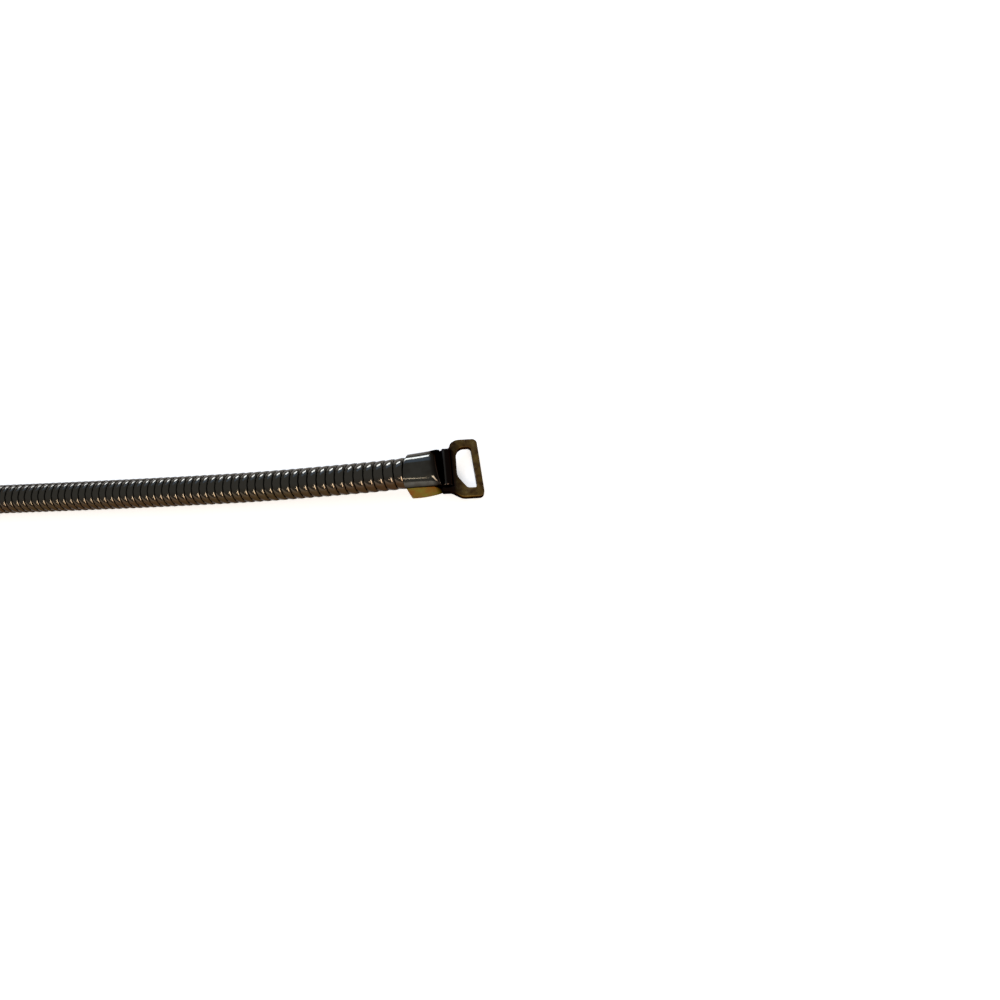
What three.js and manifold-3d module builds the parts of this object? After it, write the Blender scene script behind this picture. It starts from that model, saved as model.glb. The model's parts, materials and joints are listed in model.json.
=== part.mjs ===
// Elastic snake belt: a stretch belt of wound steel strip, lying on the ground at its full length.
// One end carries a cap with a swinging eye, the other end a cap with a flat hook.
//
// Millimetres, +Z up. +X runs along the belt towards the eye, and the belt lies on the plane z = 0.
// Each end fitting is drawn in a frame of its own, which starts on the ground under the middle of the
// cap's mouth and has its +x pointing away from the coil.

import * as THREE from 'three';
import { mergeVertices } from 'three/addons/utils/BufferGeometryUtils.js';
import Module from 'manifold-3d';

const wasm = await Module();
wasm.setup();

// Whole belt
const beltLength = 645;
const runningGap = 0.3;

// Coil of wound strip
const coilRadius = 2.4;
const coilSides = 16;
const coilSteps = 78;
const neckRadius = 1.85;
const neckReach = 2.6;
const neckRoot = 1.2;
const socketClearance = 0.35;

// How the coil lies: a slow sway, a short lean into the eye cap and a lift onto both caps
const swayWidth = 4;
const swayLength = 140;
const leanLength = 6;
const leanSlope = 0.06;
const liftLength = 28;
const eyeCapTurn = THREE.MathUtils.degToRad(6.1);

// End caps, bent from sheet into an arch
const capMouthWidth = 5.4;
const capFlare = 0.35;
const capAxisHeight = 3;
const capLength = 5.4;
const shoulderRadius = 1.1;
const capArcSegments = 14;

// Knuckle that the eye swings in
const pinRadius = 0.5;
const knuckleWall = 0.25;
const knuckleWidth = 6.6;
const knuckleHeight = 1.8;
const knuckleStandOff = 0.75;
const chinLength = 0.1;
const roundSegments = 28;

// Eye, a flat frame cut from plate
const eyeThickness = 1;
const eyeBevel = 0.2;
const eyeReach = 5.45;
const eyeBarSkew = 0.4;
const eyeBarWidth = 0.95;
const eyeWebWidth = 0.35;
const eyeHalfWidth = 5.05;
const eyeArmWidth = 1.55;
const eyeLugWidth = 0.6;
const eyeShoulderStart = 0.7;
const eyeShoulderEnd = 2.1;
const eyeCornerRadius = 0.6;
const eyeInnerRadius = 0.35;
const nearGusset = { along: 1.3, across: 2 };
const farGusset = { along: 0.5, across: 1 };

// Hook, a plain strip bent back over itself
const hookWidth = 4.6;
const hookThickness = 1.1;
const hookRise = 0.9;
const hookLength = 10.8;
const hookReturn = 6;
const throatHeight = 1.8;
const hookBendRadius = 1.2;
const throatCornerRadius = 0.35;

// Sizes worked out from those above
const boreRadius = pinRadius + runningGap;
const knuckleRadius = boreRadius + knuckleWall;
const knuckleX = capLength + knuckleStandOff;
const socketRadius = neckRadius + socketClearance;
const socketDepth = neckReach + runningGap;
const eyeLugInside = knuckleWidth / 2 + runningGap;
const eyeClearance = knuckleRadius + runningGap;
const eyeTipReach = eyeReach - eyeBevel;
const eyeTilt = Math.asin(knuckleHeight / Math.hypot(eyeTipReach, eyeThickness / 2))
  - Math.atan2(eyeThickness / 2, eyeTipReach);
const eyeEndLength = knuckleX + eyeReach * Math.cos(eyeTilt);
const hookEndLength = capLength + hookLength;
const coilSpan = beltLength - eyeEndLength - hookEndLength;

// The line that the coil follows. x is 0 at the eye cap's mouth and negative towards the hook.
class CoilRoute extends THREE.Curve {
  constructor(startX, endX) {
    super();
    this.startX = startX;
    this.endX = endX;
  }

  getPoint(t, target = new THREE.Vector3()) {
    const x = THREE.MathUtils.lerp(this.startX, this.endX, t);
    return target.set(x, sideways(x), axisHeight(x));
  }
}

function sideways(x) {
  const swayed = Math.min(-x, swayLength) / swayLength;
  const sway = swayWidth * (1 - Math.cos(Math.PI * swayed)) / 2;
  const leaning = Math.max(0, leanLength + x);
  const lean = leanSlope * (leaning ** 2 - leanLength ** 2) / (2 * leanLength);
  return sway + lean;
}

function axisHeight(x) {
  const fromMouth = Math.min(-x, coilSpan + x);
  const lift = THREE.MathUtils.smoothstep(liftLength - fromMouth, 0, liftLength);
  return coilRadius + (capAxisHeight - coilRadius) * lift;
}

// Turns a closed geometry into a solid that can be joined and cut
function toSolid(geometry) {
  const bare = geometry.clone();
  bare.deleteAttribute('normal');
  bare.deleteAttribute('uv');
  const merged = mergeVertices(bare);
  const mesh = new wasm.Mesh({
    numProp: 3,
    vertProperties: new Float32Array(merged.attributes.position.array),
    triVerts: new Uint32Array(merged.index.array),
  });
  return new wasm.Manifold(mesh);
}

function toGeometry(solid) {
  const mesh = solid.getMesh();
  const geometry = new THREE.BufferGeometry();
  geometry.setAttribute('position', new THREE.BufferAttribute(mesh.vertProperties, 3));
  geometry.setIndex(new THREE.BufferAttribute(mesh.triVerts, 1));
  geometry.computeVertexNormals();
  return geometry;
}

// An outline of straight runs whose corners [x, y, radius] are rounded where the radius isn't 0
function roundedOutline(corners) {
  const shape = new THREE.Shape();
  corners.forEach(([x, y, radius], index) => {
    const corner = new THREE.Vector2(x, y);
    const before = new THREE.Vector2(...corners.at(index - 1));
    const after = new THREE.Vector2(...corners[(index + 1) % corners.length]);
    const enter = corner.clone().add(before.sub(corner).setLength(radius));
    const leave = corner.clone().add(after.sub(corner).setLength(radius));
    if (index === 0) {
      shape.moveTo(enter.x, enter.y);
    } else {
      shape.lineTo(enter.x, enter.y);
    }
    if (radius > 0) {
      shape.quadraticCurveTo(corner.x, corner.y, leave.x, leave.y);
    }
  });
  shape.closePath();
  return shape;
}

// A side outline, drawn in x and z, made as wide as given across the belt
function extrudeAcross(shape, width) {
  const geometry = new THREE.ExtrudeGeometry(shape, {
    depth: width,
    bevelEnabled: false,
    curveSegments: 6,
  });
  geometry.translate(0, 0, -width / 2);
  geometry.rotateX(Math.PI / 2);
  return geometry;
}

function cylinderAlongX(radius, startX, endX, height) {
  const geometry = new THREE.CylinderGeometry(radius, radius, endX - startX, roundSegments);
  geometry.rotateZ(Math.PI / 2);
  geometry.translate((startX + endX) / 2, 0, height);
  return geometry;
}

function cylinderAcross(radius, width) {
  return toSolid(new THREE.CylinderGeometry(radius, radius, width, roundSegments));
}

// Arched prism of the cap, wider at its front than at its mouth
function capArch() {
  const halfWidth = capMouthWidth / 2;
  const arch = new THREE.Shape();
  arch.moveTo(-halfWidth, 0);
  arch.lineTo(halfWidth, 0);
  arch.lineTo(halfWidth, capAxisHeight);
  arch.absarc(0, capAxisHeight, halfWidth, 0, Math.PI, false);
  arch.closePath();
  const geometry = new THREE.ExtrudeGeometry(arch, {
    depth: capLength,
    bevelEnabled: false,
    curveSegments: capArcSegments,
  });
  const alongBelt = new THREE.Matrix4().makeBasis(
    new THREE.Vector3(0, 1, 0),
    new THREE.Vector3(0, 0, 1),
    new THREE.Vector3(1, 0, 0),
  );
  geometry.applyMatrix4(alongBelt);
  const position = geometry.attributes.position;
  for (let i = 0; i < position.count; i += 1) {
    const flare = 1 + (capFlare / halfWidth) * (position.getX(i) / capLength);
    position.setY(i, position.getY(i) * flare);
  }
  return geometry;
}

// Side outline of the cap: square at its mouth, with a round shoulder at its front
function capProfile() {
  const top = capAxisHeight + capMouthWidth / 2;
  const profile = new THREE.Shape();
  profile.moveTo(0, 0);
  profile.lineTo(capLength, 0);
  profile.lineTo(capLength, top - shoulderRadius);
  profile.absarc(capLength - shoulderRadius, top - shoulderRadius, shoulderRadius, 0, Math.PI / 2, false);
  profile.lineTo(0, top);
  profile.closePath();
  return profile;
}

// The cap that both ends share, without its socket
function capBody() {
  const fullWidth = capMouthWidth + 2 * capFlare + 1;
  return toSolid(capArch()).intersect(toSolid(extrudeAcross(capProfile(), fullWidth)));
}

function capSocket() {
  return toSolid(cylinderAlongX(socketRadius, -1, socketDepth, capAxisHeight));
}

// Underside of the sheet, where it runs from the cap's floor round the knuckle
function chin() {
  const outline = roundedOutline([
    [capLength - runningGap, 0, 0],
    [capLength + chinLength, 0, 0],
    [knuckleX, knuckleHeight - knuckleRadius, 0],
    [knuckleX, knuckleHeight, 0],
    [capLength - runningGap, knuckleHeight, 0],
  ]);
  return toSolid(extrudeAcross(outline, capMouthWidth + 2 * capFlare));
}

function eyeCapGeometry() {
  const axis = [knuckleX, 0, knuckleHeight];
  const barrel = cylinderAcross(knuckleRadius, knuckleWidth).translate(axis);
  const bore = cylinderAcross(boreRadius, knuckleWidth + 2).translate(axis);
  return toGeometry(capBody().add(chin()).add(barrel).subtract(bore).subtract(capSocket()));
}

// Plate of the eye: x runs from the pin's axis out to the bar, y across the belt
function eyeOutline() {
  const lugOutside = eyeLugInside + eyeLugWidth;
  const farReach = eyeReach - eyeBarSkew;
  const outline = roundedOutline([
    [-pinRadius, -lugOutside, 0],
    [eyeShoulderStart, -lugOutside, 0],
    [eyeShoulderEnd, -eyeHalfWidth, 0],
    [eyeReach, -eyeHalfWidth, eyeCornerRadius],
    [farReach, eyeHalfWidth, eyeCornerRadius],
    [eyeShoulderEnd, eyeHalfWidth, 0],
    [eyeShoulderStart, lugOutside, 0],
    [-pinRadius, lugOutside, 0],
  ]);
  outline.holes.push(eyeWindow());
  return outline;
}

// Opening that the hook goes through, with a gusset in each of its corners by the knuckle
function eyeWindow() {
  const webEdge = eyeClearance + eyeWebWidth;
  const innerHalf = eyeHalfWidth - eyeArmWidth;
  const farReach = eyeReach - eyeBarSkew;
  return roundedOutline([
    [webEdge, innerHalf - farGusset.across, 0],
    [webEdge + farGusset.along, innerHalf, eyeInnerRadius],
    [farReach - eyeBarWidth, innerHalf, eyeInnerRadius],
    [eyeReach - eyeBarWidth, -innerHalf, eyeInnerRadius],
    [webEdge + nearGusset.along, -innerHalf, eyeInnerRadius],
    [webEdge, nearGusset.across - innerHalf, 0],
  ]);
}

function eyeLoopGeometry() {
  const plate = new THREE.ExtrudeGeometry(eyeOutline(), {
    depth: eyeThickness - 2 * eyeBevel,
    bevelEnabled: true,
    bevelThickness: eyeBevel,
    bevelSize: eyeBevel,
    bevelOffset: -eyeBevel,
    bevelSegments: 1,
    curveSegments: 4,
  });
  plate.translate(0, 0, eyeBevel - eyeThickness / 2);
  const knuckleSlot = cylinderAcross(eyeClearance, 2 * eyeLugInside);
  const pin = cylinderAcross(pinRadius, 2 * eyeLugInside + eyeLugWidth);
  return toGeometry(toSolid(plate).subtract(knuckleSlot).add(pin));
}

// Side outline of the hook: out from the cap, round the throat and back above itself
function hookOutline() {
  const innerEnd = hookEndLength - hookThickness;
  const tipX = hookEndLength - hookReturn;
  const throatFloor = hookRise + hookThickness;
  const throatRoof = throatFloor + throatHeight;
  const top = throatRoof + hookThickness;
  return roundedOutline([
    [capLength - runningGap, hookRise, 0],
    [hookEndLength, hookRise, hookBendRadius],
    [hookEndLength, top, hookBendRadius],
    [tipX, top, hookThickness * 0.45],
    [tipX, throatRoof, hookThickness * 0.45],
    [innerEnd, throatRoof, throatCornerRadius],
    [innerEnd, throatFloor, throatCornerRadius],
    [capLength - runningGap, throatFloor, 0],
  ]);
}

function hookClaspGeometry() {
  const hook = toSolid(extrudeAcross(hookOutline(), hookWidth));
  return toGeometry(capBody().add(hook).subtract(capSocket()));
}

// Coil as a plain tube, with a hidden neck at each end that sits in its cap's socket
function coilGeometry(eyeEnd, hookEnd) {
  const section = new THREE.Shape();
  section.absarc(0, 0, coilRadius, 0, 2 * Math.PI, false);
  const tube = new THREE.ExtrudeGeometry(section, {
    extrudePath: new CoilRoute(runningGap - coilSpan, -runningGap),
    steps: coilSteps,
    curveSegments: coilSides / 2,
    bevelEnabled: false,
  });
  const neck = cylinderAlongX(neckRadius, -neckRoot, neckReach, capAxisHeight);
  const eyeNeck = neck.clone().applyMatrix4(eyeEnd.matrix);
  const hookNeck = neck.clone().applyMatrix4(hookEnd.matrix);
  return toGeometry(toSolid(tube).add(toSolid(eyeNeck)).add(toSolid(hookNeck)));
}

function namedMesh(name, geometry, material) {
  const mesh = new THREE.Mesh(geometry, material);
  mesh.name = name;
  return mesh;
}

const gunmetal = new THREE.MeshStandardMaterial({ color: 0x4a4d52, metalness: 1, roughness: 0.28 });
const darkNickel = new THREE.MeshStandardMaterial({ color: 0x3b3d42, metalness: 1, roughness: 0.22 });
const agedBrass = new THREE.MeshStandardMaterial({ color: 0x5f4c2a, metalness: 1, roughness: 0.38 });

const eyeEnd = new THREE.Group();
eyeEnd.rotation.z = eyeCapTurn;
eyeEnd.updateMatrix();

const hookEnd = new THREE.Group();
hookEnd.position.set(-coilSpan, sideways(-coilSpan), 0);
hookEnd.rotation.z = Math.PI;
hookEnd.updateMatrix();

const eyeLoop = namedMesh('eye_loop', eyeLoopGeometry(), agedBrass);
eyeLoop.position.set(knuckleX, 0, knuckleHeight);
eyeLoop.rotation.y = eyeTilt;

eyeEnd.add(namedMesh('eye_cap', eyeCapGeometry(), darkNickel));
eyeEnd.add(eyeLoop);
hookEnd.add(namedMesh('hook_clasp', hookClaspGeometry(), darkNickel));

const belt = new THREE.Group();
belt.add(namedMesh('coil_band', coilGeometry(eyeEnd, hookEnd), gunmetal));
belt.add(eyeEnd);
belt.add(hookEnd);

// The origin is the middle of the belt's bounding box, on the ground
belt.updateMatrixWorld(true);
const bounds = new THREE.Box3().setFromObject(belt, true);
const middle = bounds.getCenter(new THREE.Vector3());
belt.position.set(-middle.x, -middle.y, -bounds.min.z);

export default belt;
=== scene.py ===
"""The looks of an elastic snake belt, for Blender 4.5.

The belt lies straight on a pale floor. It is a coil wound of metal strip, with
an arched cap and a swinging eye at one end, and a cap with a flat hook at the
other. Each piece is modelled in millimetres, in the frame of the belt's end
that it belongs to, and its mesh is then put in its place in metres.
"""

import json
import logging
import math
from collections.abc import Iterable, Sequence
from dataclasses import dataclass, field
from enum import Enum

import bmesh
import bpy
import numpy as np
from mathutils import Matrix, Vector


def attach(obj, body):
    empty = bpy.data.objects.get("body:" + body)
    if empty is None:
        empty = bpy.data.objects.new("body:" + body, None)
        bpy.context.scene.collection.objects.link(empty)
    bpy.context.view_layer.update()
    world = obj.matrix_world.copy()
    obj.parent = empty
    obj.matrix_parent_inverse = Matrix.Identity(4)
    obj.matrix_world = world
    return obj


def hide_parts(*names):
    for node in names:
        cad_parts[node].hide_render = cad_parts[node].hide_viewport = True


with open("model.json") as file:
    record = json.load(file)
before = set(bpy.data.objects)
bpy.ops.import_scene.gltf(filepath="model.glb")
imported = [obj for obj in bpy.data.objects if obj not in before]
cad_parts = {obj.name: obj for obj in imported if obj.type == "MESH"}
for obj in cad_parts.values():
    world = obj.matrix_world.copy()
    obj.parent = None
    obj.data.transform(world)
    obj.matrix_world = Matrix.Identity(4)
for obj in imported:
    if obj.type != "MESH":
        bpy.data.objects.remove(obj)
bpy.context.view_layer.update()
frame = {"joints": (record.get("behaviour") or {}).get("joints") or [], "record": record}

log = logging.getLogger("snake_belt")

MM = 0.001
# The eye's hinge above the ground and in front of its cap's mouth, and the
# hook cap's ground face in front of its mouth, all in millimetres.
HINGE_HEIGHT = 1.8
HINGE_REACH = 6.15
HOOK_REST_REACH = 2.7
# Two corners that are no farther apart than this, in millimetres, touch.
TOUCHING = 1e-4
# The vertex attribute that paints shade into the sheet finishes.
PAINTED_SHADE = "painted_shade"


class BeltEnd(Enum):
    """The belt's two ends, by the fitting that each one carries."""

    EYE = "eye"
    HOOK = "hook"

    def place(self) -> Matrix:
        """Gives the frame of this end's cap mouth.

        Returns:
            The matrix from the end's millimetres, with x pointing out of the
            coil and into the cap, to the belt's metres.
        """
        if self is BeltEnd.EYE:
            hinge = next(j for j in frame["joints"] if j["name"] == "eye_swing")
            turn = math.atan2(hinge["axis"][0], -hinge["axis"][1])
            known = Vector(hinge["pos_m"])
            reach = Vector((HINGE_REACH, 0, HINGE_HEIGHT))
        else:
            mounts = frame["record"]["mounts"]
            face = next(m for m in mounts if m["name"] == "hook_rest_face")
            turn = math.pi
            known = Vector(face["pos_m"])
            reach = Vector((HOOK_REST_REACH, 0, 0))
        heading = Matrix.Rotation(turn, 4, "Z")
        mouth = known - heading @ reach * MM
        return Matrix.Translation(mouth) @ heading @ Matrix.Scale(MM, 4)


def linear(code: str) -> tuple[float, float, float, float]:
    """Turns an sRGB hex colour into linear light.

    Args:
        code: The colour as "#rrggbb".

    Returns:
        Red, green, blue and an alpha of one.
    """
    shares = [int(code[i : i + 2], 16) / 255 for i in (1, 3, 5)]
    red, green, blue = (
        s / 12.92 if s <= 0.04045 else ((s + 0.055) / 1.055) ** 2.4 for s in shares
    )
    return (red, green, blue, 1.0)


def add_node(
    tree: bpy.types.NodeTree,
    kind: str,
    settings: dict[str | int, object] | None = None,
    links: dict[str | int, bpy.types.NodeSocket] | None = None,
) -> bpy.types.Node:
    """Adds a shader node with its settings and links.

    Args:
        tree: The tree that takes the node.
        kind: The node's type name.
        settings: Values by the node's input or property.
        links: Output sockets of other nodes by this node's input.

    Returns:
        The new node.
    """
    node = tree.nodes.new(kind)
    for key, value in (settings or {}).items():
        if isinstance(key, str) and hasattr(node, key):
            setattr(node, key, value)
        else:
            node.inputs[key].default_value = value
    for key, socket in (links or {}).items():
        tree.links.new(socket, node.inputs[key])
    return node


def start_material(name: str) -> tuple[bpy.types.Material, bpy.types.NodeTree]:
    """Makes a node material with nothing in it but its output.

    Args:
        name: The finish's name.

    Returns:
        The material and its node tree.
    """
    material = bpy.data.materials.new(name)
    material.use_nodes = True
    material.node_tree.nodes.clear()
    return material, material.node_tree


def per_metre(size: float) -> float:
    """Gives the texture scale whose features are about size millimetres wide."""
    return 1 / (size * MM)


@dataclass(frozen=True)
class BlackNickelStrip:
    """Steel strip, plated with bright black nickel.

    It mirrors like dark glass, with drawn lines along the strip. A warm copper and olive
    reflection is painted down the near side and underneath, and painted shade darkens the seams
    between the turns. The size of the reflection's patches is in millimetres.
    """

    name: str = "black_nickel_strip"
    plating: str = "#56534c"
    # copper and olive: the two tones of the painted warm reflection.
    copper_reflection: str = "#43281a"
    olive_reflection: str = "#3d3620"
    # Painted shade in the grooves between the turns.
    seam_shade: str = "#0d0c0c"
    edge_tint: str = "#c2c0c0"
    # Where the painted warm reflection shows: down the near side and underneath.
    reflection_side: tuple[float, float] = (-0.08, -0.19)
    reflection_under: tuple[float, float] = (0.28, 0.38)
    reflection_patch_size: float = 22.0
    roughness: tuple[float, float] = (0.08, 0.2)
    seam_share: float = 0.07
    drawn_lines: tuple[float, float, float] = (4.0, 14.0, 1.0)

    def material(self) -> bpy.types.Material:
        """Makes the strip's material, which follows the strip's own UV map.

        The map's x is the share of a turn from the top, below zero on the
        near side, and its y runs across the strip from 0 to 1.

        Returns:
            The material.
        """
        material, tree = start_material(self.name)
        place = add_node(tree, "ShaderNodeTexCoord")
        across = add_node(tree, "ShaderNodeSeparateXYZ", links={0: place.outputs["UV"]})
        # Painted warm reflection, down the near side and underneath.
        side = add_node(
            tree,
            "ShaderNodeMapRange",
            {"From Min": self.reflection_side[0], "From Max": self.reflection_side[1]},
            {"Value": across.outputs["X"]},
        )
        from_top = add_node(
            tree,
            "ShaderNodeMath",
            {"operation": "ABSOLUTE"},
            {0: across.outputs["X"]},
        )
        under_side = add_node(
            tree,
            "ShaderNodeMapRange",
            {"From Min": self.reflection_under[0], "From Max": self.reflection_under[1]},
            {"Value": from_top.outputs[0]},
        )
        reflected = add_node(
            tree,
            "ShaderNodeMath",
            {"operation": "MAXIMUM"},
            {0: side.outputs["Result"], 1: under_side.outputs["Result"]},
        )
        # Patches that mix the two tones of the painted warm reflection.
        reflection_patches = add_node(
            tree,
            "ShaderNodeTexNoise",
            {"Scale": per_metre(self.reflection_patch_size), "Detail": 2.0},
            {"Vector": place.outputs["Object"]},
        )
        under = add_node(
            tree,
            "ShaderNodeMix",
            {"data_type": "RGBA", 6: linear(self.copper_reflection), 7: linear(self.olive_reflection)},
            {0: reflection_patches.outputs["Fac"]},
        )
        strip = add_node(
            tree,
            "ShaderNodeMix",
            {"data_type": "RGBA", 6: linear(self.plating)},
            {0: reflected.outputs[0], 7: under.outputs[2]},
        )
        off_middle = add_node(
            tree,
            "ShaderNodeMath",
            {"operation": "SUBTRACT", 1: 0.5},
            {0: across.outputs["Y"]},
        )
        edge = add_node(
            tree,
            "ShaderNodeMath",
            {"operation": "ABSOLUTE"},
            {0: off_middle.outputs[0]},
        )
        # Painted shade in the seam grooves, at the strip's edges.
        groove_shade = add_node(
            tree,
            "ShaderNodeMapRange",
            {"From Min": 0.5 - self.seam_share, "From Max": 0.5},
            {"Value": edge.outputs[0]},
        )
        colour = add_node(
            tree,
            "ShaderNodeMix",
            {"data_type": "RGBA", 7: linear(self.seam_shade)},
            {0: groove_shade.outputs["Result"], 6: strip.outputs[2]},
        )
        drawn = add_node(
            tree,
            "ShaderNodeMapping",
            {"Scale": self.drawn_lines},
            {"Vector": place.outputs["UV"]},
        )
        lines = add_node(
            tree,
            "ShaderNodeTexNoise",
            {"Scale": 1.0, "Detail": 3.0},
            {"Vector": drawn.outputs["Vector"]},
        )
        gloss = add_node(
            tree,
            "ShaderNodeMapRange",
            {"To Min": self.roughness[0], "To Max": self.roughness[1]},
            {"Value": lines.outputs["Fac"]},
        )
        shader = add_node(
            tree,
            "ShaderNodeBsdfPrincipled",
            {"Metallic": 1.0, "Specular Tint": linear(self.edge_tint)},
            {"Base Color": colour.outputs[2], "Roughness": gloss.outputs["Result"]},
        )
        add_node(tree, "ShaderNodeOutputMaterial", links={"Surface": shader.outputs[0]})
        return material


@dataclass(frozen=True)
class PlatedSheet:
    """Polished sheet metal, plated or antiqued; one kind carries a painted warm reflection.

    It has faint clouds of a second tone and a few soft dents that break up its long reflections.
    The piece's painted shade attribute paints shade into it, darkening both its colour and its
    grazing reflection. Cloud and dent sizes are in millimetres.
    """

    name: str
    tone: str
    cloud: str
    painted_shade: str
    roughness: tuple[float, float]
    cloud_size: float = 1.6
    dent_size: float = 2.2
    dent_depth: float = 0.02
    edge_tint: str = "#c2c0c0"
    cloud_span: tuple[float, float] = (0.35, 0.65)

    def material(self) -> bpy.types.Material:
        """Makes the sheet's material from noise in the object's own metres.

        Returns:
            The material.
        """
        material, tree = start_material(self.name)
        place = add_node(tree, "ShaderNodeTexCoord")
        clouds = add_node(
            tree,
            "ShaderNodeTexNoise",
            {"Scale": per_metre(self.cloud_size), "Detail": 4.0},
            {"Vector": place.outputs["Object"]},
        )
        spread = add_node(
            tree,
            "ShaderNodeMapRange",
            {"From Min": self.cloud_span[0], "From Max": self.cloud_span[1]},
            {"Value": clouds.outputs["Fac"]},
        )
        unshaded_tone = add_node(
            tree,
            "ShaderNodeMix",
            {"data_type": "RGBA", 6: linear(self.tone), 7: linear(self.cloud)},
            {0: spread.outputs["Result"]},
        )
        # Painted shade: it darkens both the colour and the grazing reflection.
        painted_shade = add_node(tree, "ShaderNodeAttribute", {"attribute_name": PAINTED_SHADE})
        colour = add_node(
            tree,
            "ShaderNodeMix",
            {"data_type": "RGBA", 7: linear(self.painted_shade)},
            {0: painted_shade.outputs["Fac"], 6: unshaded_tone.outputs[2]},
        )
        grazing = add_node(
            tree,
            "ShaderNodeMix",
            {"data_type": "RGBA", 6: linear(self.edge_tint), 7: linear(self.painted_shade)},
            {0: painted_shade.outputs["Fac"]},
        )
        gloss = add_node(
            tree,
            "ShaderNodeMapRange",
            {"To Min": self.roughness[0], "To Max": self.roughness[1]},
            {"Value": spread.outputs["Result"]},
        )
        dents = add_node(
            tree,
            "ShaderNodeTexNoise",
            {"Scale": per_metre(self.dent_size), "Detail": 1.0},
            {"Vector": place.outputs["Object"]},
        )
        relief = add_node(
            tree,
            "ShaderNodeBump",
            {"Strength": 1.0, "Distance": self.dent_depth * MM},
            {"Height": dents.outputs["Fac"]},
        )
        shader = add_node(
            tree,
            "ShaderNodeBsdfPrincipled",
            {"Metallic": 1.0},
            {
                "Base Color": colour.outputs[2],
                "Specular Tint": grazing.outputs[2],
                "Roughness": gloss.outputs["Result"],
                "Normal": relief.outputs["Normal"],
            },
        )
        add_node(tree, "ShaderNodeOutputMaterial", links={"Surface": shader.outputs[0]})
        return material


# Black nickel plated sheet: near black, with crisp reflections, and a brown-black tone for painted
# shade.
BLACK_NICKEL_SHEET = PlatedSheet(
    name="black_nickel_sheet",
    tone="#55544e",
    cloud="#48453f",
    painted_shade="#1c1512",
    roughness=(0.08, 0.18),
)
# The same sheet with a painted warm reflection: olive gold with orange patches, and a near-black
# tone for painted shade.
WARM_REFLECTION_SHEET = PlatedSheet(
    name="warm_reflection_sheet",
    tone="#6b6026",
    cloud="#74481c",
    painted_shade="#14100a",
    roughness=(0.18, 0.34),
)
# Cast brass, antiqued and rubbed: mottled brown with a satin sheen, and a dark brown tone for
# painted shade.
ANTIQUE_BRASS = PlatedSheet(
    name="antique_brass",
    tone="#866a3a",
    cloud="#4e3822",
    painted_shade="#20150f",
    roughness=(0.22, 0.42),
    cloud_size=0.9,
    dent_size=1.1,
    dent_depth=0.08,
)


def finish_piece(
    name: str,
    bm: bmesh.types.BMesh,
    place: Matrix,
    materials: Sequence[bpy.types.Material],
    sharp_from: float = 34.0,
) -> bpy.types.Object:
    """Puts a modelled shape in its place and makes it an object.

    Args:
        name: The piece's name.
        bm: The shape in millimetres, which is freed.
        place: The matrix from those millimetres to the belt's metres.
        materials: The materials by face index.
        sharp_from: The angle in degrees from which an edge stays sharp.

    Returns:
        The object, at the origin, with its place in its mesh.
    """
    bmesh.ops.transform(bm, matrix=place, verts=bm.verts)
    mesh = bpy.data.meshes.new(name)
    bm.to_mesh(mesh)
    bm.free()
    mesh.shade_smooth()
    mesh.set_sharp_from_angle(angle=math.radians(sharp_from))
    for material in materials:
        mesh.materials.append(material)
    piece = bpy.data.objects.new(name, mesh)
    bpy.context.scene.collection.objects.link(piece)
    triangles = sum(len(face.vertices) - 2 for face in mesh.polygons)
    log.info("%s: %d triangles", name, triangles)
    return piece


def add_loop(
    bm: bmesh.types.BMesh, points: Iterable[Sequence[float]]
) -> list[bmesh.types.BMEdge]:
    """Adds a closed loop of edges.

    Args:
        bm: The shape that takes the loop.
        points: The loop's corners in order.

    Returns:
        The loop's edges.
    """
    corners = [bm.verts.new(point) for point in points]
    return [bm.edges.new(pair) for pair in zip(corners, corners[1:] + corners[:1])]


def soften(
    bm: bmesh.types.BMesh, edges: Iterable[bmesh.types.BMEdge], width: float, steps: int
) -> None:
    """Rounds edges over.

    Args:
        bm: The shape.
        edges: The edges to round.
        width: How far each rounding reaches, in millimetres.
        steps: The number of faces across each rounding.
    """
    bmesh.ops.bevel(
        bm,
        geom=list(edges),
        offset=width,
        segments=steps,
        profile=0.5,
        affect="EDGES",
        clamp_overlap=True,
        material=-1,
    )


def mark_painted_shade(bm: bmesh.types.BMesh, marks: Sequence[tuple[float, float]]) -> None:
    """Writes the painted shade attribute, which changes along the fitting.

    Args:
        bm: The shape in its own millimetres.
        marks: Pairs of a place along x and the painted shade there, from 0 to 1.
    """
    layer = bm.verts.layers.float.new(PAINTED_SHADE)
    places, amounts = zip(*marks)
    for corner in bm.verts:
        corner[layer] = float(np.interp(corner.co.x, places, amounts))


def corner_edges(bm: bmesh.types.BMesh, least: float) -> list[bmesh.types.BMEdge]:
    """Lists the edges whose two faces meet at more than least degrees."""
    limit = math.radians(least)
    return [e for e in bm.edges if e.is_manifold and e.calc_face_angle(0.0) > limit]


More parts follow.
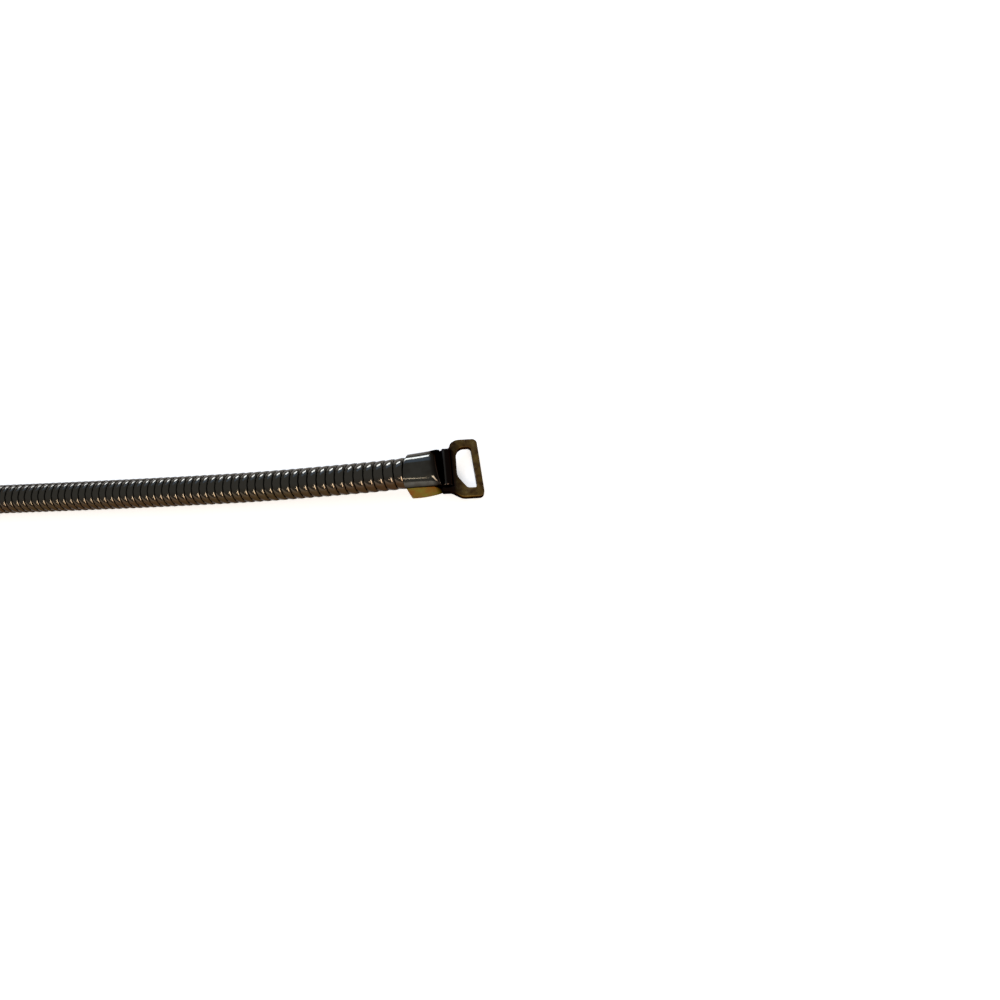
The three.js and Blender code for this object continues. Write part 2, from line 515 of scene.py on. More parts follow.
@dataclass
class WoundCoil:
    """The stretch coil, wound of shaped strip whose turns lap like shingles.

    x is zero at the eye cap's mouth and falls towards the hook. The turns
    nearest the eye cap are pulled apart a little. All lengths are in
    millimetres, and a turn's profile pairs the share of its width with the
    depth below the coil's radius.
    """

    radius: float = 2.4
    sides: int = 16
    tucked_in: float = 1.9
    loose_pitch: float = 1.58
    tight_pitch: float = 1.22
    loose_turns: float = 31.0
    sway_width: float = 4.0
    sway_length: float = 140.0
    lean_length: float = 6.0
    lean_slope: float = 0.06
    lift_length: float = 28.0
    cap_axis_height: float = 3.0
    tight_groove: float = 0.6
    tilt_spread: float = 0.012
    profile: tuple[tuple[float, float], ...] = (
        (0.0, 0.3),
        (0.08, 0.13),
        (0.66, 0.0),
        (0.93, 0.05),
        (1.0, 0.3),
    )
    merge_gap: float = 0.001
    route_step: float = 0.5
    seed: int = 7
    sharp_from: float = 75.0
    finish: BlackNickelStrip = field(default_factory=BlackNickelStrip)

    def span(self) -> float:
        """Measures the way between the two caps' mouths.

        Returns:
            The distance along x.
        """
        eye = BeltEnd.EYE.place().translation
        hook = BeltEnd.HOOK.place().translation
        return (eye.x - hook.x) / MM

    def sideways(self, x: np.ndarray) -> np.ndarray:
        """Works out how far the coil's axis lies to the side.

        Args:
            x: Places along the belt.

        Returns:
            The axis' y at each place: a slow sway and a short lean into the cap.
        """
        swayed = np.minimum(-x, self.sway_length) / self.sway_length
        sway = self.sway_width * (1 - np.cos(np.pi * swayed)) / 2
        leaning = np.maximum(0, self.lean_length + x)
        lean = self.lean_slope * (leaning**2 - self.lean_length**2) / (2 * self.lean_length)
        return sway + lean

    def axis_height(self, x: np.ndarray) -> np.ndarray:
        """Works out how high the coil's axis lies.

        Args:
            x: Places along the belt.

        Returns:
            The axis' z at each place, raised towards both caps.
        """
        from_mouth = np.minimum(-x, self.span() + x)
        share = np.clip(1 - from_mouth / self.lift_length, 0, 1)
        lift = share**2 * (3 - 2 * share)
        return self.radius + (self.cap_axis_height - self.radius) * lift

    def build_turn(self) -> bpy.types.Object:
        """Models one turn, one unit long, with a UV map round and across it.

        Returns:
            The turn as an object for the array.
        """
        bm = bmesh.new()
        corners = [
            bm.verts.new((share - 1, 0, self.radius - depth)) for share, depth in self.profile
        ]
        edges = [bm.edges.new(pair) for pair in zip(corners, corners[1:])]
        bmesh.ops.spin(
            bm,
            geom=corners + edges,
            cent=(0, 0, 0),
            axis=(1, 0, 0),
            angle=math.tau,
            steps=self.sides,
            use_merge=True,
        )
        bmesh.ops.recalc_face_normals(bm, faces=bm.faces)
        first = bm.faces[:][0]
        outward = first.calc_center_median() * Vector((0, 1, 1))
        if first.normal.dot(outward) < 0:
            bmesh.ops.reverse_faces(bm, faces=bm.faces)
        layer = bm.loops.layers.uv.new("strip")
        for face in bm.faces:
            middle = face.calc_center_median()
            facing = math.atan2(middle.y, middle.z)
            for loop in face.loops:
                at = loop.vert.co
                beside = math.atan2(at.y, at.z) - facing
                round_it = facing + math.remainder(beside, math.tau)
                loop[layer].uv = (round_it / math.tau, at.x + 1)
        mesh = bpy.data.meshes.new("coil_turn")
        bm.to_mesh(mesh)
        bm.free()
        turn = bpy.data.objects.new("coil_turn", mesh)
        bpy.context.scene.collection.objects.link(turn)
        return turn

    def repeat_turn(self, turn: bpy.types.Object, count: int) -> bpy.types.Mesh:
        """Winds the whole coil, straight and with a pitch of one unit.

        Args:
            turn: The single turn, which is removed.
            count: The number of turns.

        Returns:
            The mesh of all the turns, joined at their seams.
        """
        row = turn.modifiers.new("turns", "ARRAY")
        row.count = count
        row.use_relative_offset = False
        row.use_constant_offset = True
        row.constant_offset_displace = (-1, 0, 0)
        row.use_merge_vertices = True
        row.merge_threshold = self.merge_gap
        depsgraph = bpy.context.evaluated_depsgraph_get()
        mesh = bpy.data.meshes.new_from_object(turn.evaluated_get(depsgraph))
        bpy.data.objects.remove(turn)
        return mesh

    def lay_out(self, mesh: bpy.types.Mesh, count: int) -> None:
        """Moves the straight coil onto its route, with its real pitch.

        Args:
            mesh: The coil, whose x is minus the number of turns from the eye.
            count: The number of turns.
        """
        length = self.span() + 2 * self.tucked_in
        loose = min(self.loose_turns, count)
        tight_pitch = (length - self.loose_pitch * loose / 2) / (count - loose / 2)
        places = np.empty(len(mesh.vertices) * 3)
        mesh.vertices.foreach_get("co", places)
        places = places.reshape(-1, 3)
        turns = -places[:, 0]
        pulled = np.minimum(turns, loose)
        x = self.tucked_in - tight_pitch * turns
        x -= (self.loose_pitch - tight_pitch) * (pulled - pulled**2 / (2 * loose))
        ahead, behind = x + self.route_step, x - self.route_step
        run = 2 * self.route_step
        slope_y = (self.sideways(ahead) - self.sideways(behind)) / run
        slope_z = (self.axis_height(ahead) - self.axis_height(behind)) / run
        forward = np.stack([np.ones_like(x), slope_y, slope_z], axis=1)
        forward /= np.linalg.norm(forward, axis=1)[:, None]
        rounds = places[:, 1:]
        radii = np.linalg.norm(rounds, axis=1)
        kept = np.interp(turns, (0, loose), (1, self.tight_groove))
        rounds *= ((self.radius - (self.radius - radii) * kept) / radii)[:, None]
        across = np.stack([-forward[:, 1], forward[:, 0], np.zeros_like(x)], axis=1)
        across /= np.linalg.norm(across, axis=1)[:, None]
        upward = np.cross(forward, across)
        chance = np.random.default_rng(self.seed)
        tilts = chance.normal(0, self.tilt_spread, (2, count + 1))
        marks = np.arange(count + 1)
        tilt = np.interp(turns, marks, tilts[0]) * places[:, 1]
        tilt += np.interp(turns, marks, tilts[1]) * places[:, 2]
        tilt *= np.clip(np.minimum(turns, count - turns), 0, 1)
        centre = np.stack([x, self.sideways(x), self.axis_height(x)], axis=1)
        laid = centre + forward * tilt[:, None]
        laid = laid + across * places[:, 1:2] + upward * places[:, 2:3]
        mesh.vertices.foreach_set("co", laid.ravel())

    def build(self) -> bpy.types.Object:
        """Models the whole coil and fixes it to the belt.

        Returns:
            The coil, in the place of the CAD coil.
        """
        length = self.span() + 2 * self.tucked_in
        extra = (self.loose_pitch - self.tight_pitch) * self.loose_turns / 2
        count = round((length - extra) / self.tight_pitch)
        log.info("coil: %d turns", count)
        mesh = self.repeat_turn(self.build_turn(), count)
        self.lay_out(mesh, count)
        bm = bmesh.new()
        bm.from_mesh(mesh)
        bpy.data.meshes.remove(mesh)
        bmesh.ops.edgeloop_fill(bm, edges=[edge for edge in bm.edges if edge.is_boundary])
        place = Matrix.Translation(BeltEnd.EYE.place().translation) @ Matrix.Scale(MM, 4)
        finish = [self.finish.material()]
        piece = finish_piece("wound_coil", bm, place, finish, self.sharp_from)
        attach(piece, "belt")
        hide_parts("coil_band")
        return piece


@dataclass
class ArchedCap:
    """A sheet cap folded over the coil's end, open at its mouth.

    Its roof laps over the two side walls, which carry a painted warm reflection. x is zero at the
    mouth and z on the ground, and y points to the side that far_flare widens, all in millimetres.
    """

    end: BeltEnd
    half_width: float = 2.7
    near_flare: float = 0.35
    far_flare: float = 0.35
    axis_height: float = 3.0
    length: float = 5.4
    shoulder: float = 1.1
    roof_fall: float = 0.0
    socket_radius: float = 2.47
    socket_depth: float = 2.9
    lap: float = 0.14
    crease: tuple[tuple[float, float], ...] = ((0.0, 2.99), (1.3, 2.97), (4.4, 2.6), (5.4, 1.1))
    foot_width: float = 3.15
    foot_curve: float = 0.05
    foot_middle: float = 2.6
    wall_cut: float = 0.35
    mouth_skew: float = 0.0
    mouth_blend: float = 2.4
    front_lift: float = 0.5
    lift_from: float = 0.75
    narrowing: float = 0.25
    lap_rise: float = 0.02
    belly: float = 0.6
    toe: float = 0.1
    straight_stations: tuple[float, ...] = (0.0, 0.3, 0.8, 1.5, 2.5, 3.4)
    bend_angles: tuple[float, ...] = (22.0, 42.0, 60.0, 76.0, 90.0)
    edge: float = 0.05
    edge_steps: int = 2
    edge_angle: float = 50.0
    socket_margin: float = 0.05
    wall_margin: float = 0.1
    wall_facing: float = 0.5
    arc_steps: int = 16
    low_steps: int = 13
    # Painted shade on the shoulder and the front of the cap.
    painted_shade_marks: tuple[tuple[float, float], ...] = ((4.2, 0.0), (5.1, 0.9))
    # Painted shadow in the crease under the roof's edge, fading up the roof.
    crease_shadow: float = 0.95
    crease_shade: float = 0.35
    crease_fade: float = 1.0
    roof: PlatedSheet = BLACK_NICKEL_SHEET
    wall: PlatedSheet = WARM_REFLECTION_SHEET

    def crease_height(self, x: float) -> float:
        """Gives the height of the roof's lower edge at a distance from the mouth."""
        places, heights = zip(*self.crease)
        return float(np.interp(x, places, heights))

    def outline(self, x: float, fall: float) -> list[tuple[float, float]]:
        """Works out the cap's outline across the belt.

        Args:
            x: The distance from the mouth.
            fall: How far the shoulder has brought the roof down.

        Returns:
            The corners as y and z, from the far side over the roof to the
            near side and back under the cap.
        """
        along = x / self.length
        narrowed = self.half_width - self.narrowing * fall
        far, near = narrowed + self.far_flare * along, narrowed + self.near_flare * along
        rise = self.half_width - fall - self.roof_fall * along
        lifted = max(0.0, (along - self.lift_from) / (1 - self.lift_from))
        ground = self.front_lift * lifted**2
        points = []
        for step in range(self.arc_steps + 1):
            angle = math.pi * step / self.arc_steps
            half = far if step * 2 <= self.arc_steps else near
            points.append((half * math.cos(angle), self.axis_height + rise * math.sin(angle)))
        near_side = [(-y, z) for y, z in self.side_wall(x, near, ground)]
        return points + near_side + list(reversed(self.side_wall(x, far, ground)))

    def side_wall(self, x: float, half: float, ground: float) -> list[tuple[float, float]]:
        """Works out one side's outline, from the roof's edge to the cap's foot.

        Args:
            x: The distance from the mouth.
            half: How far out the roof stands on this side.
            ground: The height of the foot.

        Returns:
            The corners as the distance from the middle and z.
        """
        crease = self.crease_height(x)
        wall = half - self.lap
        foot = self.foot_width - self.foot_curve * (x - self.foot_middle) ** 2
        belly = (1 - self.belly) * wall + self.belly * foot
        return [
            (half, crease),
            (wall, crease + self.lap_rise),
            (wall, crease - self.crease_shade),
            (belly, (crease - self.crease_shade + ground) / 2),
            (foot, ground + self.toe),
            (foot - self.toe, ground),
        ]

    def set_back(self, x: float, y: float, z: float) -> float:
        """Sets a point back where the mouth is cut aslant.

        Args:
            x: The point's distance from a mouth that is cut square.
            y: Its distance to the side.
            z: Its height.

        Returns:
            The distance with the slant, which fades out along the cap.
        """
        cut = self.wall_cut * max(0.0, 1 - z / self.axis_height)
        skew = self.mouth_skew * (y + self.half_width) / (2 * self.half_width)
        return x + (cut + skew) * max(0.0, 1 - x / self.mouth_blend)

    def stations(self) -> list[tuple[float, float]]:
        """Lists where outlines are placed.

        Returns:
            Each outline's x, with the shoulder's fall there.
        """
        start = self.length - self.shoulder
        straight = [(x, 0.0) for x in (*self.straight_stations, start)]
        bent = []
        for angle in map(math.radians, self.bend_angles):
            fall = self.shoulder * (1 - math.cos(angle))
            bent.append((start + self.shoulder * math.sin(angle), fall))
        return straight + bent

    def socket_loop(self, x: float) -> list[tuple[float, float, float]]:
        """Lists the corners of a round loop in the socket.

        Args:
            x: The loop's distance from a mouth that is cut square.

        Returns:
            As many corners as an outline has, in the same order.
        """
        count = self.arc_steps + self.low_steps
        points = []
        for step in range(count):
            if step <= self.arc_steps:
                angle = math.pi * step / self.arc_steps
            else:
                share = (step - self.arc_steps) / self.low_steps
                angle = math.pi * (1 + share)
            y = self.socket_radius * math.cos(angle)
            z = self.axis_height + self.socket_radius * math.sin(angle)
            points.append((self.set_back(x, y, z), y, z))
        return points

    def model_cap(self, bm: bmesh.types.BMesh) -> None:
        """Lofts the cap's shell from its socket out over the mouth to its front.

        Args:
            bm: The shape that takes the cap.
        """
        loops = [add_loop(bm, self.socket_loop(self.socket_depth))]
        bmesh.ops.edgeloop_fill(bm, edges=loops[0])
        loops.append(add_loop(bm, self.socket_loop(0.0)))
        for x, fall in self.stations():
            points = self.outline(x, fall)
            loops.append(add_loop(bm, [(self.set_back(x, y, z), y, z) for y, z in points]))
        for inner, outer in zip(loops, loops[1:]):
            bmesh.ops.bridge_loops(bm, edges=inner + outer)
        bmesh.ops.edgeloop_fill(bm, edges=loops[-1])
        bmesh.ops.recalc_face_normals(bm, faces=bm.faces)

    def paint_walls(self, bm: bmesh.types.BMesh) -> None:
        """Gives the side walls, under the roof's edge, the painted warm reflection.

        Args:
            bm: The cap's shape, before anything stands in front of it.
        """
        for face in bm.faces:
            middle = face.calc_center_median()
            side_on = abs(face.normal.y) > self.wall_facing
            outside = abs(middle.y) > self.socket_radius + self.socket_margin
            low = middle.z < self.crease_height(middle.x) - self.wall_margin
            if side_on and outside and low:
                face.material_index = 1

    def mark_crease(self, bm: bmesh.types.BMesh) -> None:
        """Paints shadow into the crease between the roof's edge and the side walls.

        Args:
            bm: The cap's shape, which has its painted shade attribute.
        """
        layer = bm.verts.layers.float[PAINTED_SHADE]
        for corner in bm.verts:
            above = corner.co.z - self.crease_height(corner.co.x)
            reach = self.crease_fade if above > 0 else self.crease_shade
            share = max(0.0, 1 - abs(above) / reach)
            if abs(corner.co.y) > self.socket_radius + self.socket_margin:
                corner[layer] = max(corner[layer], self.crease_shadow * share)

    def add_front(self, bm: bmesh.types.BMesh) -> None:
        """Adds what stands in front of the cap; a plain cap has nothing there."""

    def build(self) -> bpy.types.Object:
        """Models the cap and its front, and fixes them to the belt.

        Returns:
            The cap.
        """
        bm = bmesh.new()
        self.model_cap(bm)
        soften(bm, corner_edges(bm, self.edge_angle), self.edge, self.edge_steps)
        self.paint_walls(bm)
        self.add_front(bm)
        mark_painted_shade(bm, self.painted_shade_marks)
        self.mark_crease(bm)
        name = f"{self.end.value}_cap_sheet"
        finishes = [self.roof.material(), self.wall.material()]
        piece = finish_piece(name, bm, self.end.place(), finishes)
        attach(piece, "belt")
        return piece


@dataclass
class EyeCap(ArchedCap):
    """The eye end's cap, whose roof runs down into the knuckle for the pin.

    The front pairs a distance from the mouth with the height that the sheet
    stays under there.
    """

    end: BeltEnd = BeltEnd.EYE
    far_flare: float = 0.05
    roof_fall: float = 0.4
    mouth_skew: float = 1.15
    narrowing: float = 0.0
    front_lift: float = 0.2
    foot_curve: float = 0.03
    # Painted shade on the front and the knuckle, leaving a painted highlight stripe along the
    # knuckle's crest.
    painted_shade_marks: tuple[tuple[float, float], ...] = (
        (4.2, 0.0),
        (4.9, 0.9),
        (6.05, 1.0),
        (6.13, 0.25),
        (6.17, 0.25),
        (6.25, 1.0),
    )
    front: tuple[tuple[float, float], ...] = ((5.4, 6.0), (5.47, 3.6), (5.56, 2.9))
    front_flare: float = 0.1
    bore_radius: float = 0.8
    knuckle_radius: float = 1.05
    knuckle_width: float = 6.1
    rim: float = 0.08
    knuckle_steps: int = 32

    def stations(self) -> list[tuple[float, float]]:
        """Adds the outlines of the sheet that runs down to the knuckle."""
        return super().stations() + [(x, self.shoulder) for x, _ in self.front[1:]]

    def outline(self, x: float, fall: float) -> list[tuple[float, float]]:
        """Works out the outline, lowered and spread towards the knuckle.

        Args:
            x: The distance from the mouth.
            fall: How far the shoulder has brought the roof down.

        Returns:
            The corners as y and z, in the order of the plain cap's outline.
        """
        places, ceilings = zip(*self.front)
        ceiling = float(np.interp(x, places, ceilings))
        start = self.length - self.shoulder
        spread = 1 + self.front_flare * max(0.0, (x - start) / (places[-1] - start))
        points = super().outline(x, fall)
        return [(y * spread if y > 0 else y, min(z, ceiling)) for y, z in points]

    def add_front(self, bm: bmesh.types.BMesh) -> None:
        """Adds the curled knuckle for the eye's pin.

        Args:
            bm: The cap's shape, which takes the knuckle.
        """
        half = self.knuckle_width / 2
        section = [
            (self.bore_radius, -half),
            (self.knuckle_radius - self.rim, -half),
            (self.knuckle_radius, self.rim - half),
            (self.knuckle_radius, half - self.rim),
            (self.knuckle_radius - self.rim, half),
            (self.bore_radius, half),
        ]
        others = set(bm.faces)
        ring = add_loop(bm, [(HINGE_REACH, y, HINGE_HEIGHT + radius) for radius, y in section])
        corners = list({v for e in ring for v in e.verts})
        bmesh.ops.spin(
            bm,
            geom=corners + ring,
            cent=(HINGE_REACH, 0, HINGE_HEIGHT),
            axis=(0, 1, 0),
            angle=math.tau,
            steps=self.knuckle_steps,
            use_merge=True,
        )
        bmesh.ops.recalc_face_normals(bm, faces=list(set(bm.faces) - others))

    def build(self) -> bpy.types.Object:
        """Models the cap with its knuckle in the place of the CAD cap."""
        piece = super().build()
        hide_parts("eye_cap")
        return piece


@dataclass
class EyeLoop:
    """The flat trapezoid eye, cast with its pin, which swings in the knuckle.

    x is zero at the pin and points out of the belt, y points to the far side
    and z stands up from the plate's middle, all in millimetres.
    """

    thickness: float = 1.0
    edge: float = 0.2
    edge_steps: int = 2
    edge_angle: float = 68.75
    corner_steps: int = 5
    slot_levels: tuple[float, ...] = (-0.3, 0.0, 0.3)
    slot_margin: float = 0.11
    reach: float = 5.45
    bar_skew: float = 0.4
    half_width: float = 5.05
    near_half_width: float = 4.9
    near_lug: float = 3.9
    far_lug: float = 3.5
    lug_inside: float = 3.15
    slot_reach: float = 1.09
    corner: float = 0.75
    inner_corner: float = 0.35
    pin_radius: float = 0.5
    pin_steps: int = 24
    # Painted shade near the pin and the slot.
    painted_shade_marks: tuple[tuple[float, float], ...] = ((1.1, 1.0), (1.6, 0.7), (2.3, 0.0))
    # Painted shade on the plate's edges, darker downwards.
    wall_shade: tuple[tuple[float, float], ...] = ((0.1, 0.9), (0.48, 0.0))
    finish: PlatedSheet = ANTIQUE_BRASS

    def tilt(self) -> float:
        """Works out how far the eye hangs down from its pin to the floor.

        Returns:
            The angle in radians.
        """
        arm = self.reach - self.edge
        half = self.thickness / 2
        return math.asin(HINGE_HEIGHT / math.hypot(arm, half)) - math.atan2(half, arm)

    def outer_corners(self) -> list[tuple[float, float, float]]:
        """Lists the plate's corners, counter-clockwise from the near lug.

        Returns:
            The x, y and rounding of each corner.
        """
        near, far, slot = self.near_lug, self.far_lug, self.lug_inside
        wide, near_wide = self.half_width, self.near_half_width
        return [
            (-0.85, -near, 0.3),
            (0.6, -near, 0.3),
            (2.1, -near_wide, 0.5),
            (self.reach, -near_wide, self.corner),
            (self.reach - self.bar_skew, wide, self.corner),
            (1.8, wide - 0.05, 0.4),
            (0.95, 4.45, 0.3),
            (0.6, far, 0.2),
            (-0.5, far, 0.2),
            (-0.5, slot, 0.0),
            (self.slot_reach, slot, 0.0),
            (self.slot_reach, -slot, 0.0),
            (-0.85, -slot, 0.0),
        ]

    def window_corners(self) -> list[tuple[float, float, float]]:
        """Lists the window's corners, clockwise.

        Returns:
            The x, y and rounding of each corner.
        """
        return [
            (1.64, 2.8, 0.6),
            (2.35, 3.8, 0.6),
            (4.05, 3.8, 0.5),
            (4.45, -3.5, self.inner_corner),
            (3.0, -3.5, self.inner_corner),
            (1.56, -1.4, 0.5),
        ]

    def hug_knuckle(self, bm: bmesh.types.BMesh) -> None:
        """Hollows the slot's long wall to a round that follows the knuckle.

        Args:
            bm: The plate's shape.
        """
        for level in self.slot_levels:
            parts = [*bm.verts, *bm.edges, *bm.faces]
            bmesh.ops.bisect_plane(bm, geom=parts, plane_co=(0, 0, level), plane_no=(0, 0, 1))
        for corner in bm.verts:
            x, y, z = corner.co
            on_wall = abs(x - self.slot_reach) < TOUCHING
            if on_wall and abs(y) < self.lug_inside + TOUCHING:
                corner.co.x = math.sqrt(self.slot_reach**2 - z**2)

    def darken_walls(self, bm: bmesh.types.BMesh) -> None:
        """Paints shade onto the plate's edges, darker downwards.

        Args:
            bm: The eye's shape, which has its painted shade attribute.
        """
        layer = bm.verts.layers.float[PAINTED_SHADE]
        heights, amounts = zip(*self.wall_shade)
        for corner in bm.verts:
            corner[layer] = max(corner[layer], float(np.interp(corner.co.z, heights, amounts)))

    def build(self) -> bpy.types.Object:
        """Models the eye and its pin, and fixes them to the swinging body.

        Returns:
            The eye, in the place of the CAD eye.
        """
        bm = bmesh.new()
        low = -self.thickness / 2
        loops = [self.outer_corners(), self.window_corners()]
        edges = []
        for loop in loops:
            edges += add_loop(bm, [(x, y, low) for x, y, _ in loop])
        bmesh.ops.triangle_fill(bm, edges=edges, use_beauty=True, use_dissolve=True)
        out = bmesh.ops.extrude_face_region(bm, geom=list(bm.faces))["geom"]
        moved = [part for part in out if isinstance(part, bmesh.types.BMVert)]
        bmesh.ops.translate(bm, vec=(0, 0, self.thickness), verts=moved)
        bmesh.ops.recalc_face_normals(bm, faces=bm.faces)
        for x, y, radius in [corner for loop in loops for corner in loop]:
            if radius:
                upright = [
                    e
                    for e in bm.edges
                    if all((v.co.xy - Vector((x, y))).length < TOUCHING for v in e.verts)
                ]
                soften(bm, upright, radius, self.corner_steps)
        slot_end = self.slot_reach + self.slot_margin
        rims = [
            e
            for e in corner_edges(bm, self.edge_angle)
            if abs(e.verts[0].co.z - e.verts[1].co.z) < TOUCHING
            and not all(abs(v.co.y) < self.lug_inside and v.co.x < slot_end for v in e.verts)
        ]
        soften(bm, rims, self.edge, self.edge_steps)
        self.hug_knuckle(bm)
        bmesh.ops.create_cone(
            bm,
            cap_ends=True,
            segments=self.pin_steps,
            radius1=self.pin_radius,
            radius2=self.pin_radius,
            depth=2 * self.far_lug,
            matrix=Matrix.Rotation(math.pi / 2, 4, "X"),
        )
        mark_painted_shade(bm, self.painted_shade_marks)
        self.darken_walls(bm)
        hinge = BeltEnd.EYE.place() @ Matrix.Translation((HINGE_REACH, 0, HINGE_HEIGHT))
        place = hinge @ Matrix.Rotation(self.tilt(), 4, "Y")
        piece = finish_piece("antique_eye", bm, place, [self.finish.material()])
        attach(piece, "eye")
        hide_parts("eye_loop")
        return piece


@dataclass
class HookClasp(ArchedCap):
    """The hook end's cap with the flat hook that grips the eye's outer bar."""

    end: BeltEnd = BeltEnd.HOOK
    # Painted shade on the cap's front and the hook's root.
    painted_shade_marks: tuple[tuple[float, float], ...] = ((4.2, 0.0), (5.1, 0.7), (5.6, 0.7), (6.4, 0.0))
    hook_width: float = 4.6
    hook_thickness: float = 1.1
    hook_rise: float = 0.9
    hook_end: float = 16.2
    hook_return: float = 6.0
    throat: float = 1.8
    bend: float = 1.2
    bend_steps: int = 6
    throat_corner: float = 0.35
    tip_corner: float = 0.5
    tip_inner_corner: float = 0.3
    root_depth: float = 0.4
    hook_edge: float = 0.16
    hook_edge_steps: int = 3
    hook_edge_angle: float = 68.75

    def add_front(self, bm: bmesh.types.BMesh) -> None:
        """Adds the flat hook, bent back over its own root.

        Args:
            bm: The cap's shape, which takes the hook.
        """
        low, thick = self.hook_rise, self.hook_thickness
        top = low + 2 * thick + self.throat
        root, far = self.length - self.root_depth, self.hook_end
        tip = far - self.hook_return
        half = self.hook_width / 2
        outline = [
            (root, low, 0.0),
            (far, low, self.bend),
            (far, top, self.bend),
            (tip, top, self.tip_corner),
            (tip, top - thick, self.tip_inner_corner),
            (far - thick, top - thick, self.throat_corner),
            (far - thick, low + thick, self.throat_corner),
            (root, low + thick, 0.0),
        ]
        edges = add_loop(bm, [(x, -half, z) for x, z, _ in outline])
        face = bmesh.ops.edgeloop_fill(bm, edges=edges)["faces"]
        out = bmesh.ops.extrude_face_region(bm, geom=face)["geom"]
        moved = [part for part in out if isinstance(part, bmesh.types.BMVert)]
        bmesh.ops.translate(bm, vec=(0, self.hook_width, 0), verts=moved)
        strip = {f for v in moved for f in v.link_faces} | set(face)
        bmesh.ops.recalc_face_normals(bm, faces=list(strip))
        for x, z, radius in outline:
            if radius:
                across = [
                    e
                    for e in bm.edges
                    if all((v.co.xz - Vector((x, z))).length < TOUCHING for v in e.verts)
                ]
                soften(bm, across, radius, self.bend_steps)
        rims = [
            e
            for e in corner_edges(bm, self.hook_edge_angle)
            if all(
                abs(abs(v.co.y) - half) < TOUCHING and v.co.x > root - TOUCHING for v in e.verts
            )
        ]
        soften(bm, rims, self.hook_edge, self.hook_edge_steps)

    def build(self) -> bpy.types.Object:
        """Models the cap with its hook in the place of the CAD hook clasp."""
        piece = super().build()
        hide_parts("hook_clasp")
        return piece


@dataclass(frozen=True)
class Softbox:
    """A rectangular soft light that faces the belt.

    The azimuth is in degrees from +X towards +Y, the size and the distance are
    in metres, and a radiance of one shows as white.
    """

    name: str
    azimuth: float
    elevation: float
    size: tuple[float, float]
    radiance: float
    tone: str
    mirrored: bool = True
    distance: float = 2.2

    def hang(self) -> None:
        """Hangs the softbox in its place."""
        turn, rise = math.radians(self.azimuth), math.radians(self.elevation)
        way = Vector(
            (math.cos(turn) * math.cos(rise), math.sin(turn) * math.cos(rise), math.sin(rise))
        )
        box = bpy.data.lights.new(self.name, "AREA")
        box.shape = "RECTANGLE"
        box.size, box.size_y = self.size
        box.energy = self.radiance * math.pi * self.size[0] * self.size[1]
        box.color = linear(self.tone)[:3]
        lamp = bpy.data.objects.new(self.name, box)
        lamp.location = way * self.distance
        lamp.rotation_mode = "QUATERNION"
        lamp.rotation_quaternion = (-way).to_track_quat("-Z", "Y")
        lamp.visible_glossy = self.mirrored
        bpy.context.scene.collection.objects.link(lamp)


SOFTBOXES = (
    Softbox("window_far", 103.0, 24.0, (1.45, 0.5), 16.0, "#e6efff"),
    Softbox("sky_far", 100.0, 46.0, (2.6, 0.8), 1.0, "#6f98cc"),
    Softbox("lamp_near", -62.0, 22.0, (0.55, 1.15), 18.0, "#fff0dc"),
    Softbox("strip_near", -100.0, 26.0, (0.9, 0.14), 9.0, "#fff0dc"),
    Softbox("ceiling", 90.0, 90.0, (3.0, 3.0), 0.2, "#ffffff", mirrored=False, distance=2.5),
)


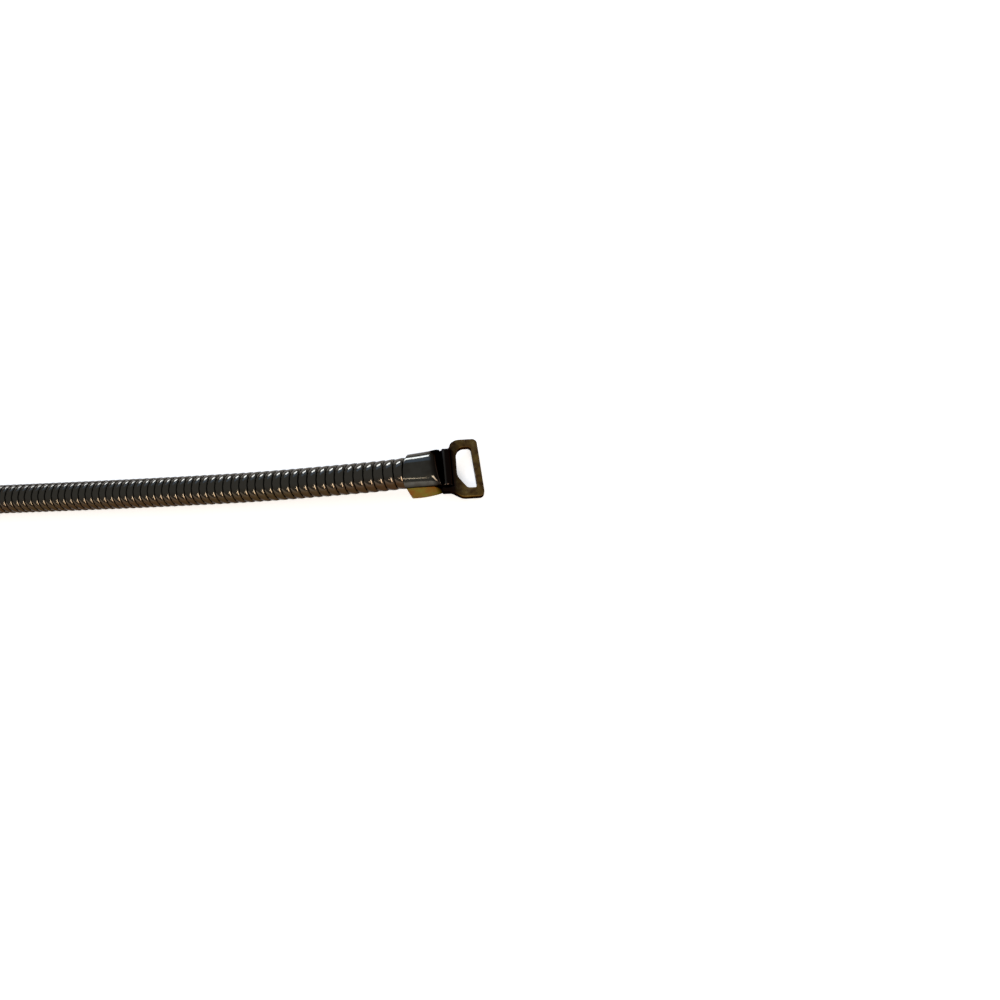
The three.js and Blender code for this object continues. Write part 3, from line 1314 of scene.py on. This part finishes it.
@dataclass
class Studio:
    """The pale floor, the soft lights and the camera.

    The floor's size and drop and the clips are in metres. The camera's target
    and distance are in millimetres from the eye cap's mouth, and its angles
    are in degrees.
    """

    floor_size: float = 8.0
    floor_drop: float = 0.00002
    floor_tone: str = "#fbfbfb"
    floor_glow: float = 0.55
    sky_tone: str = "#ffffff"
    sky_strength: float = 0.3
    softboxes: tuple[Softbox, ...] = SOFTBOXES
    sensor: float = 36.0
    clips: tuple[float, float] = (0.005, 50.0)
    focal_share: float = 0.741
    camera_target: tuple[float, float, float] = (14.1096, -4.2499, 0.0)
    camera_distance: float = 110.9624
    camera_elevation: float = 62.0
    camera_azimuth: float = 17.8726
    camera_roll: float = -20.2858

    def add_floor(self) -> None:
        """Lays the floor, which glows a little so that shadows stay faint."""
        bm = bmesh.new()
        bmesh.ops.create_grid(bm, x_segments=1, y_segments=1, size=self.floor_size / 2)
        bmesh.ops.translate(bm, vec=(0, 0, -self.floor_drop), verts=bm.verts)
        mesh = bpy.data.meshes.new("floor")
        bm.to_mesh(mesh)
        bm.free()
        material, tree = start_material("pale_floor")
        shader = add_node(
            tree,
            "ShaderNodeBsdfPrincipled",
            {
                "Base Color": linear(self.floor_tone),
                "Roughness": 0.9,
                "Specular IOR Level": 0.1,
                "Emission Color": linear(self.floor_tone),
                "Emission Strength": self.floor_glow,
            },
        )
        add_node(tree, "ShaderNodeOutputMaterial", links={"Surface": shader.outputs[0]})
        mesh.materials.append(material)
        floor = bpy.data.objects.new("floor", mesh)
        bpy.context.scene.collection.objects.link(floor)

    def add_sky(self) -> None:
        """Fills the room with an even, dim light."""
        world = bpy.data.worlds.new("studio_sky")
        world.use_nodes = True
        tree = world.node_tree
        tree.nodes.clear()
        sky = add_node(
            tree,
            "ShaderNodeBackground",
            {"Color": linear(self.sky_tone), "Strength": self.sky_strength},
        )
        add_node(tree, "ShaderNodeOutputWorld", links={"Surface": sky.outputs[0]})
        bpy.context.scene.world = world

    def add_camera(self) -> None:
        """Sets up the camera at the photograph's viewing angle."""
        rise, turn = math.radians(self.camera_elevation), math.radians(self.camera_azimuth)
        roll = math.radians(self.camera_roll)
        back = Vector(
            (math.sin(turn) * math.cos(rise), -math.cos(turn) * math.cos(rise), math.sin(rise))
        )
        right = Vector((math.cos(turn), math.sin(turn), 0))
        up = back.cross(right)
        side = math.cos(roll) * right + math.sin(roll) * up
        head = -math.sin(roll) * right + math.cos(roll) * up
        mouth = BeltEnd.EYE.place().translation
        target = mouth + Vector(self.camera_target) * MM
        lens = bpy.data.cameras.new("camera")
        lens.sensor_width = self.sensor
        lens.lens = self.sensor * self.focal_share
        lens.clip_start, lens.clip_end = self.clips
        camera = bpy.data.objects.new("camera", lens)
        stand = Matrix((side, head, back)).transposed().to_4x4()
        camera.matrix_world = Matrix.Translation(target + back * self.camera_distance * MM) @ stand
        bpy.context.scene.collection.objects.link(camera)
        bpy.context.scene.camera = camera

    def build(self) -> None:
        """Sets up the floor, the lights and the camera."""
        self.add_floor()
        self.add_sky()
        for softbox in self.softboxes:
            softbox.hang()
        self.add_camera()
        bpy.context.scene.view_settings.view_transform = "Standard"


def main() -> None:
    """Builds the studio and the belt's pieces."""
    logging.basicConfig(level=logging.INFO, format="%(name)s: %(message)s")
    Studio().build()
    for part in (WoundCoil(), EyeCap(), EyeLoop(), HookClasp()):
        part.build()
        log.info("built %s", type(part).__name__)


if __name__ == "__main__":
    main()
